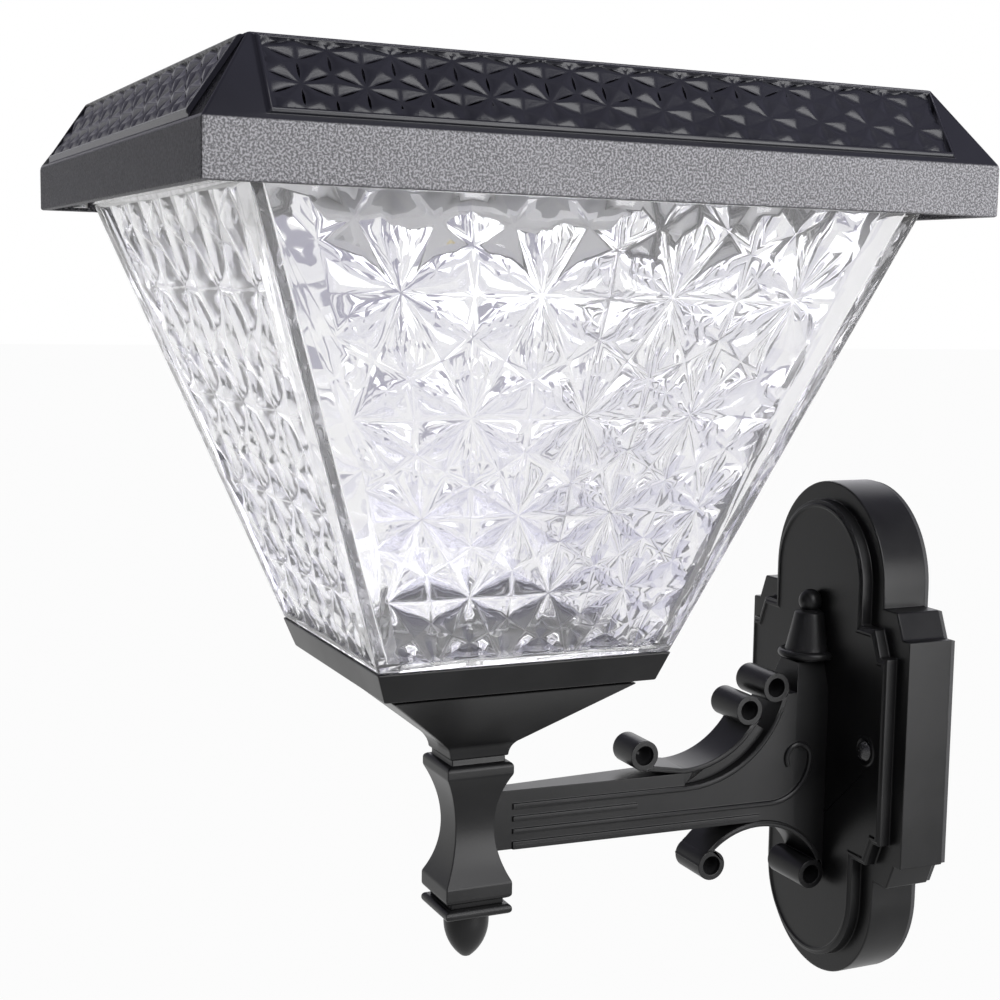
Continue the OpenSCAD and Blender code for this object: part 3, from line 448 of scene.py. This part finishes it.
def starField(star, s):
    bm = bmesh.new()
    for row in range(s["rows"]):
        v = s["firstRow"] + (row - 1) * rowPitch
        shift = 0.5 if (row + s["stagger"]) % 2 else 0.0
        for column in range(-s["columns"], s["columns"] + 1):
            known = len(bm.verts)
            bm.from_mesh(star)
            bm.verts.ensure_lookup_table()
            bmesh.ops.translate(bm, vec=(column + shift + s["centre"], v, 0), verts=bm.verts[known:])
    bmesh.ops.remove_doubles(bm, verts=bm.verts, dist=1e-4)
    for point, outwards in (((s["halfWide"], 0, 0), (1, 0, 0)), ((-s["halfWide"], 0, 0), (-1, 0, 0)),
                            ((0, s["low"], 0), (0, 1, 0)), ((0, s["high"], 0), (0, -1, 0))):
        bmesh.ops.bisect_plane(bm, geom=bm.verts[:] + bm.edges[:] + bm.faces[:], dist=1e-6,
                               plane_co=point, plane_no=outwards, clear_outer=True)
    rim = [edge for edge in bm.edges if edge.is_boundary]
    wall = bmesh.ops.extrude_edge_only(bm, edges=rim)["geom"]
    for vert in onlyVerts(wall):
        vert.co.z = 0
    bmesh.ops.remove_doubles(bm, verts=bm.verts, dist=1e-5)
    bmesh.ops.recalc_face_normals(bm, faces=bm.faces)
    bm.normal_update()
    if sum(face.normal.z * face.calc_area() for face in bm.faces) < 0:
        bmesh.ops.reverse_faces(bm, faces=bm.faces)
    return bm


# Puts a star field in place of a flat face. place(x, y) gives the distances across and down the face
# and the local pitch for a point of the field.

def pressStars(bm, face, field, place):
    normal = face.normal.copy()
    across = Vector((0, 0, 1)).cross(normal).normalized()
    down = across.cross(normal)
    if down.z > 0:
        down.negate()
    top = max((vert.co for vert in face.verts), key=lambda co: co.z)
    axisPoint = Vector((lampAxis.x, lampAxis.y, top.z))
    origin = top + across * (axisPoint - top).dot(across)
    pattern = field.copy()
    for vert in pattern.verts:
        x, y, pitch = place(vert.co.x, vert.co.y)
        vert.co = origin + across * x + down * y + normal * (vert.co.z * pitch)
    if across.cross(down).dot(normal) < 0:
        bmesh.ops.reverse_faces(pattern, faces=pattern.faces)
    flat = bpy.data.meshes.new("pattern")
    pattern.to_mesh(flat)
    pattern.free()
    known = set(bm.edges)
    border = list(face.edges)
    bmesh.ops.delete(bm, geom=[face], context="FACES_ONLY")
    bm.from_mesh(flat)
    border += [edge for edge in bm.edges if edge.is_boundary and edge not in known]
    bmesh.ops.triangle_fill(bm, edges=border, normal=normal, use_beauty=True)
    bpy.data.meshes.remove(flat)


# Shade

shadeSettings = {
    "soft": 0.5 * mm,
    "star": {"rise": 0.036, "groove": 0.036, "leaf": 0.11, "skew": 1.5, "steps": 4},  # in pitches
    "pitchShare": 0.453,      # pitch over half the face's width
    "rowRatio": 0.856,        # each row's width over that of the row above it
    "field": {"rows": 7, "columns": 4, "firstRow": 0.615, "stagger": 0, "centre": 0.09,
              "halfWide": 1.91, "high": 0.03, "low": 4.0},
}


def makeShade(s):
    bm = mergedCopy("shade")
    soften(bm, s["soft"])
    field = starField(makeStar(s["star"]), s["field"])
    shrink = -math.log(s["rowRatio"]) / rowPitch
    walls = sorted((f for f in bm.faces if -0.6 < f.normal.z < -0.1), key=lambda f: -f.calc_area())[:4]
    walls = [f for f in walls if (f.calc_center_median() - lampAxis).xy.dot(f.normal.xy) > 0]
    for wall in walls:
        halfTop = max(abs((v.co - lampAxis).xy.dot(Vector((-wall.normal.y, wall.normal.x)).normalized()))
                      for v in wall.verts)
        slope = wall.normal.z / wall.normal.xy.length
        fall = abs(slope) / math.hypot(1, slope)  # how fast half the width shrinks down the slope

        def place(u, v):
            half = halfTop * math.exp(-shrink * v)
            pitch = s["pitchShare"] * half
            return u * pitch, (halfTop - half) / fall, pitch
        pressStars(bm, wall, field, place)
    field.free()
    # Each facet's lean up or down, from which the glass material paints shade on the facets
    lean = bm.faces.layers.float.new("lean")
    for face in bm.faces:
        if not face.smooth:
            face[lean] = face.normal.z + fall
    print("shade walls pressed:", len(walls), "open edges:", openEdges(bm))
    return finishPiece(bm, "star_shade", "clear_shade", "lantern", ["shade"])


makeShade(shadeSettings)


# Cap

capSettings = {
    "soft": 0.6 * mm,
    "star": {"rise": 0.064, "groove": 0.018, "leaf": 0.085, "skew": 1.4, "steps": 3},
    "columns": 12,            # stars along one side of the roof
    "units": 5.85,            # height of the patterned panel, in sixths of root three pitches
    "margin": 0.35 * mm,
}


def makeCap(s):
    bm = mergedCopy("cap_shell")
    soften(bm, s["soft"])
    slabs = sorted((f for f in bm.faces if 0.3 < f.normal.z < 0.8), key=lambda f: -f.calc_area())[:4]
    for slab in slabs:
        along = Vector((-slab.normal.y, slab.normal.x)).normalized()
        half = max(abs((v.co - lampAxis).xy.dot(along)) for v in slab.verts) - s["margin"]
        heights = [v.co.z for v in slab.verts]
        length = (max(heights) - min(heights)) / slab.normal.xy.length
        pitch = 2 * half / s["columns"]
        unit = (length - 2 * s["margin"]) / s["units"]     # a star row is three units high
        field = {"rows": 5, "columns": s["columns"] // 2 + 1, "firstRow": 0.55 / 3 * rowPitch,
                 "stagger": 1, "centre": 0,
                 "halfWide": half / pitch, "high": 0, "low": s["units"] / 3 * rowPitch}
        stars = starField(makeStar(s["star"]), field)
        pressStars(bm, slab, stars, lambda u, v: (u * pitch, s["margin"] + v / rowPitch * 3 * unit, pitch))
        stars.free()
    print("roof panels pressed:", len(slabs), "open edges:", openEdges(bm))
    return finishPiece(bm, "cap_cover", "cap_plastic", "lantern", ["cap_shell"])


makeCap(capSettings)


# Rolled strip ends. A roll's flat eye gives way to a deep tapered bore.

rollSettings = {
    "strips": ("upper_scroll", "middle_scroll", "lower_scroll"),
    "eyeCorners": 20,         # an eye's flat face has more corners than this,
    "eyeRound": 0.01 * mm,    # all of them as far from its middle, to within this
    "roll": 4.2 * mm,         # a little over a roll's radius
    "mouth": 2.6 * mm,
    "eyeShare": 0.7,          # what lies nearer the middle than this share of the mouth is the eye
    "eyeFrom": 0.2,           # share of half the width past which an end's points lie
    "bore": [(0.90, 0.06), (0.72, 0.35), (0.45, 0.58), (0.2, 0.72)],  # shares of the mouth and of the way in
}


def rollMiddles(bm, s):  # the round flat faces that look along +X are the rolls' eyes
    middles = []
    for face in bm.faces:
        middle = face.calc_center_median()
        reach = [(v.co - middle).length for v in face.verts]
        if face.normal.x > 0.99 and len(reach) > s["eyeCorners"] and max(reach) - min(reach) < s["eyeRound"]:
            middles.append(middle)
    return middles


def boreRolls(bm, s):
    for middle in rollMiddles(bm, s):

        def fromMiddle(vert):
            return (vert.co - middle).yz.length

        near = [v for v in bm.verts if fromMiddle(v) < s["roll"]]
        half = max(abs(v.co.x) for v in near)
        for side in (1, -1):
            eye = [v for v in near
                   if fromMiddle(v) < s["eyeShare"] * s["mouth"] and v.co.x * side > s["eyeFrom"] * half]
            bmesh.ops.delete(bm, geom=eye, context="VERTS")
            near = [v for v in near if v.is_valid]
            rim = [e for e in bm.edges if e.is_boundary]
            floor = min(v.co.x * side for e in rim for v in e.verts)
            for share, depth in s["bore"]:
                made = bmesh.ops.extrude_edge_only(bm, edges=rim)["geom"]
                rim = onlyEdges(made)
                for vert in onlyVerts(made):
                    out = (vert.co - middle).yz.normalized() * share * s["mouth"]
                    vert.co = Vector((side * floor * (1 - depth), middle.y + out.x, middle.z + out.y))
            bmesh.ops.holes_fill(bm, edges=rim, sides=0)
    bmesh.ops.recalc_face_normals(bm, faces=bm.faces)


# A raised line round the front of the wall plate, just inside its edge

plateLine = {"fromEdge": 1.0 * mm, "slope": 0.3 * mm, "top": 0.35 * mm, "proud": 0.45 * mm}


def frontLine(bm, s):
    front = min(v.co.y for v in bm.verts)
    faces = [f for f in bm.faces if f.normal.y < -0.99 and f.calc_center_median().y < front + 0.1 * mm]
    steps = ((s["fromEdge"], 0), (s["slope"], s["proud"]), (s["top"], 0), (s["slope"], -s["proud"]))
    for width, depth in steps:
        bmesh.ops.inset_region(bm, faces=faces, thickness=width, depth=depth,
                               use_even_offset=True, use_boundary=True)


# Plain castings: the CAD form with soft edges. Each row has the new piece's name and how wide its
# edges are rounded.

softPieces = {
    "tray": ("tray_rim", 0.4 * mm),
    "cup": ("flared_cup", 0.5 * mm),
    "post": ("waisted_post", 0.35 * mm),
    "foot_plate": ("post_foot", 0.2 * mm),
    "acorn_finial": ("acorn", 0.3 * mm),
    "arm": ("bracket_arm", 0.2 * mm),
    "upper_scroll": ("upper_strip", 0.2 * mm),
    "middle_scroll": ("middle_strip", 0.2 * mm),
    "lower_scroll": ("lower_strip", 0.2 * mm),
    "column_finial": ("column_turning", 0.2 * mm),
    "wall_plate": ("stepped_plate", 0.45 * mm),
    "strap_screws": ("dome_screws", 0.2 * mm),
    "cap_base": ("cap_floor", 0.4 * mm),
    "push_button": ("button_cap", 0.15 * mm),
}

for node, (name, width) in softPieces.items():
    bm = mergedCopy(node)
    if node in rollSettings["strips"]:
        boreRolls(bm, rollSettings)
    if node == "wall_plate":
        frontLine(bm, plateLine)
    soften(bm, width)
    finishPiece(bm, name, slotOf[node], bodyOf[node], [node])

print("soft pieces made:", len(softPieces))


# Round beads on the bracket's reeds, hook lines and strip edges

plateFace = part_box("arm")[1].y
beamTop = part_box("upper_scroll")[0].z
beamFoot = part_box("lower_scroll")[1].z
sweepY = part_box("middle_scroll")[0].y  # middle of the middle strip's sweep

beadSettings = {
    "radius": 0.72 * mm,
    "tip": 0.55,              # share of the radius left at a bead's ends
    "sunk": 0.35 * mm,
    "halfAtLamp": 3.0 * mm,   # half the bracket's width at the lamp's axis
    "halfAtPlate": 8.5 * mm,  # and at the plate
    "sides": 10,
    "arcStep": 6,             # degrees
    "least": 0.05 * mm,       # points nearer than this to the last one are left out
    "start": 12.2 * mm,       # from the lamp's axis to the beads' ends beside the post
    "strip": 1.5 * mm,        # thickness of a strip
    "stripGap": 3.5 * mm,     # between the upper and the middle strip
    "sweep": 25.0 * mm,       # inner radius of the upper strip's sweep
    "sweepShift": 1.0 * mm,   # from the upper sweep's middle to the middle one's
    "sweepAngles": (-38, -20),  # where the upper and the middle strip's beads end
    "upperStart": (6.9 * mm, 1.7 * mm),  # before the upper sweep's middle, and above the beam
    "reedPitch": 3.4 * mm,
    "reed": 1.4 * mm,         # height of the second reed
    "footReed": 2.1 * mm,     # and of the one along the beam's foot
    "secondShort": 14.8 * mm,  # from the second reed's end to the sweep's middle
    "footShort": 1.3 * mm,    # and from the foot reed's end to the arch's middle
    "hookLine": 1.3 * mm,
    "hookSweep": 13.0 * mm,   # outer radius of the hook's sweep
    "hookTurn": 4.4 * mm,     # and of its turned end
    "hookTurnEnd": 215,
    "hookFromPlate": 18.2 * mm,
    "arch": 22.3 * mm,        # outer radius of the lower strip's arch
    "archFromPlate": 21.4 * mm,
    "archAngles": (131, 36),
}


def beadLines(s):  # straight runs are (y, z), and arcs are (y, z, radius, from, to)
    start = lampAxis.y + s["start"]
    halfLine = s["hookLine"] / 2
    halfStrip = s["strip"] / 2
    reedTop = beamTop - s["stripGap"]

    hookFoot = reedTop - 2 * s["reedPitch"] - s["hookLine"]
    hookY, hookZ = plateFace - s["hookFromPlate"], hookFoot + s["hookSweep"]
    turnY = hookY + s["hookSweep"] - s["hookTurn"]
    secondZ = reedTop - s["reedPitch"] - s["reed"] / 2
    footZ = beamFoot + s["footReed"] / 2

    sweepZ = beamTop + s["strip"] + s["sweep"]
    upperY = sweepY - s["sweepShift"]
    upperRadius = s["sweep"] + halfStrip
    middleRadius = upperRadius + s["strip"] + s["stripGap"]
    upperEnd, middleEnd = s["sweepAngles"]
    before, above = s["upperStart"]
    archY, archZ = plateFace - s["archFromPlate"], beamFoot - s["arch"]

    return [
        [(start, hookFoot + halfLine), (hookY, hookZ, s["hookSweep"] - halfLine, -90, 0),
         (turnY, hookZ, s["hookTurn"] - halfLine, 0, s["hookTurnEnd"])],
        [(start, reedTop - halfStrip), (sweepY, sweepZ, middleRadius, -90, middleEnd)],
        [(start, secondZ), (sweepY - s["secondShort"], secondZ)],
        [(start, footZ), (archY - s["footShort"], footZ)],
        [(upperY - before, beamTop + above), (upperY, sweepZ, upperRadius, -90, upperEnd)],
        [(archY, archZ, s["arch"] - halfStrip, *s["archAngles"])],
    ]


def linePoints(line, s):
    points = []
    for part in line:
        if len(part) == 2:
            points.append(part)
        else:
            y, z, radius, start, end = part
            steps = max(2, round(abs(end - start) / s["arcStep"]))
            for i in range(steps + 1):
                angle = math.radians(start + (end - start) * i / steps)
                points.append((y + radius * math.cos(angle), z + radius * math.sin(angle)))
    kept = points[:1]
    for point in points[1:]:
        if math.dist(point, kept[-1]) > s["least"]:
            kept.append(point)
    return kept


def beadFrames(flat, side, s):  # the place, turn and size of the round section at each point
    points = []
    for y, z in flat:
        share = (y - lampAxis.y) / (plateFace - lampAxis.y)
        half = s["halfAtLamp"] + (s["halfAtPlate"] - s["halfAtLamp"]) * share - s["sunk"]
        points.append(Vector((side * half, y, z)))
    last = len(points) - 1
    frames = []
    for i, point in enumerate(points):
        run = (points[min(i + 1, last)] - points[max(i - 1, 0)]).normalized()
        across = Vector((1, 0, 0)).cross(run).normalized()
        turn = Matrix((run.cross(across), across, run)).transposed().to_4x4()
        size = s["tip"] if i in (0, last) else 1.0
        frames.append(Matrix.Translation(point) @ turn @ Matrix.Scale(size, 4))
    return frames


def makeBeads(s):
    bm = bmesh.new()
    for line in beadLines(s):
        flat = linePoints(line, s)
        for side in (1, -1):
            frames = beadFrames(flat, side, s)
            ring = bmesh.ops.create_circle(bm, cap_ends=True, segments=s["sides"], radius=s["radius"],
                                           matrix=frames[0])["verts"]
            rim = list(dict.fromkeys(e for v in ring for e in v.link_edges))
            for before, after in zip(frames, frames[1:]):
                made = bmesh.ops.extrude_edge_only(bm, edges=rim)["geom"]
                rim = onlyEdges(made)
                bmesh.ops.transform(bm, matrix=after @ before.inverted(), verts=onlyVerts(made))
            bmesh.ops.holes_fill(bm, edges=rim, sides=0)
    bmesh.ops.recalc_face_normals(bm, faces=bm.faces)
    for face in bm.faces:
        face.smooth = True
    print("bracket beads made, open edges:", openEdges(bm))
    return finishPiece(bm, "bracket_beads", "bracket_coat", bodyOf["arm"])


makeBeads(beadSettings)


# Floor, world and lamps

stageSettings = {
    "floorDrop": 0.90,        # metres below the lowest piece
    "floorSize": 60.0,
    "floorColour": (0.93, 0.93, 0.93),
    "floorGlow": 0.97,
    "ambient": 0.14,          # strength of the soft light from all round
    "dusk": 0.3,              # share of it left on the -Y side
    "duskFrom": -0.7, "duskTo": 0.1,
    "panels": 17,             # upright light panels all round
    "panelTurn": math.radians(-26.6),
    "panelWide": 0.55, "panelTop": 0.22,
    "panelBlur": 0.2, "topBlur": 0.15,
    "gapColour": (0.34, 0.33, 0.42),
    "lamps": {                # place, size and power
        "key": ((0.71, 0.04, 0.58), 0.5, 6.0),
        "side": ((0.80, 0.28, 0.06), 0.5, 5.8),
        "fill": ((-0.8, 0.5, 0.5), 0.8, 2.5),
    },
    "lampAim": 0.05,          # height of the point that they face
}


# Gloss and glass show upright light panels with soft grey gaps between them. The camera sees white.

def makeWorld(s):
    world = bpy.data.worlds.new("studio")
    bpy.context.scene.world = world
    world.use_nodes = True
    wires = Wires(world.node_tree)
    background = wires.nodes["Background"]
    camera, shown = wires.shownRays()
    x, y, z = wires.split(wires.add("TexCoord", output="Generated"))
    halfPanel = math.pi / s["panels"]
    across = (y.maths("ARCTAN2", x) + s["panelTurn"]).maths("PINGPONG", halfPanel) / halfPanel
    gap = across.between(s["panelWide"], s["panelWide"] + s["panelBlur"])
    over = z.maths("ABSOLUTE").between(s["panelTop"], s["panelTop"] + s["topBlur"])
    dark = gap.maths("MAXIMUM", over) * (1 - camera)
    wires.plug(background.inputs["Color"], wires.mix(dark, (1, 1, 1), s["gapColour"]))
    soft = wires.add("MapRange", {}, {"Value": y, "From Min": s["duskFrom"], "From Max": s["duskTo"],
                                      "To Min": s["dusk"] * s["ambient"], "To Max": s["ambient"]})
    wires.plug(background.inputs["Strength"], wires.add("MapRange", {}, {"Value": shown, "To Min": soft}))


def makeFloor(s):
    bm = bmesh.new()
    bmesh.ops.create_grid(bm, x_segments=1, y_segments=1, size=s["floorSize"] / 2)
    bmesh.ops.translate(bm, vec=(0, 0, cadBox[0][2] - s["floorDrop"]), verts=bm.verts)
    mesh = bpy.data.meshes.new("floor")
    bm.to_mesh(mesh)
    bm.free()
    paint = Paint("pale_floor", Roughness=0.9)
    paint.plug(paint.shader.inputs["Base Color"], s["floorColour"])
    camera, shown = paint.shownRays()
    glow = paint.add("Emission", {}, {"Color": (1, 1, 1), "Strength": 1.0})
    plain = Value(paint, paint.shader.outputs[0])
    blend = paint.add("MixShader", {}, {0: s["floorGlow"] * shown, 1: plain, 2: glow})
    paint.plug(paint.output.inputs["Surface"], blend)
    mesh.materials.append(paint.material)
    floor = bpy.data.objects.new("floor", mesh)
    bpy.context.collection.objects.link(floor)


def makeLamp(name, place, size, power):
    data = bpy.data.lights.new(name, "AREA")
    data.size = size
    data.energy = power
    lamp = bpy.data.objects.new(name, data)
    bpy.context.collection.objects.link(lamp)
    aim = Vector((lampAxis.x, lampAxis.y, stageSettings["lampAim"])) - Vector(place)
    lamp.matrix_world = Matrix.Translation(place) @ aim.to_track_quat("-Z", "Y").to_matrix().to_4x4()


makeWorld(stageSettings)
makeFloor(stageSettings)
for name, (place, size, power) in stageSettings["lamps"].items():
    makeLamp(name, place, size, power)

print("stage made, lamps:", len(stageSettings["lamps"]))

scene = bpy.context.scene
scene.view_settings.view_transform = "Standard"
scene.cycles.max_bounces = 28
scene.cycles.glossy_bounces = 16           # light runs on inside the pressed walls
scene.cycles.transmission_bounces = 20
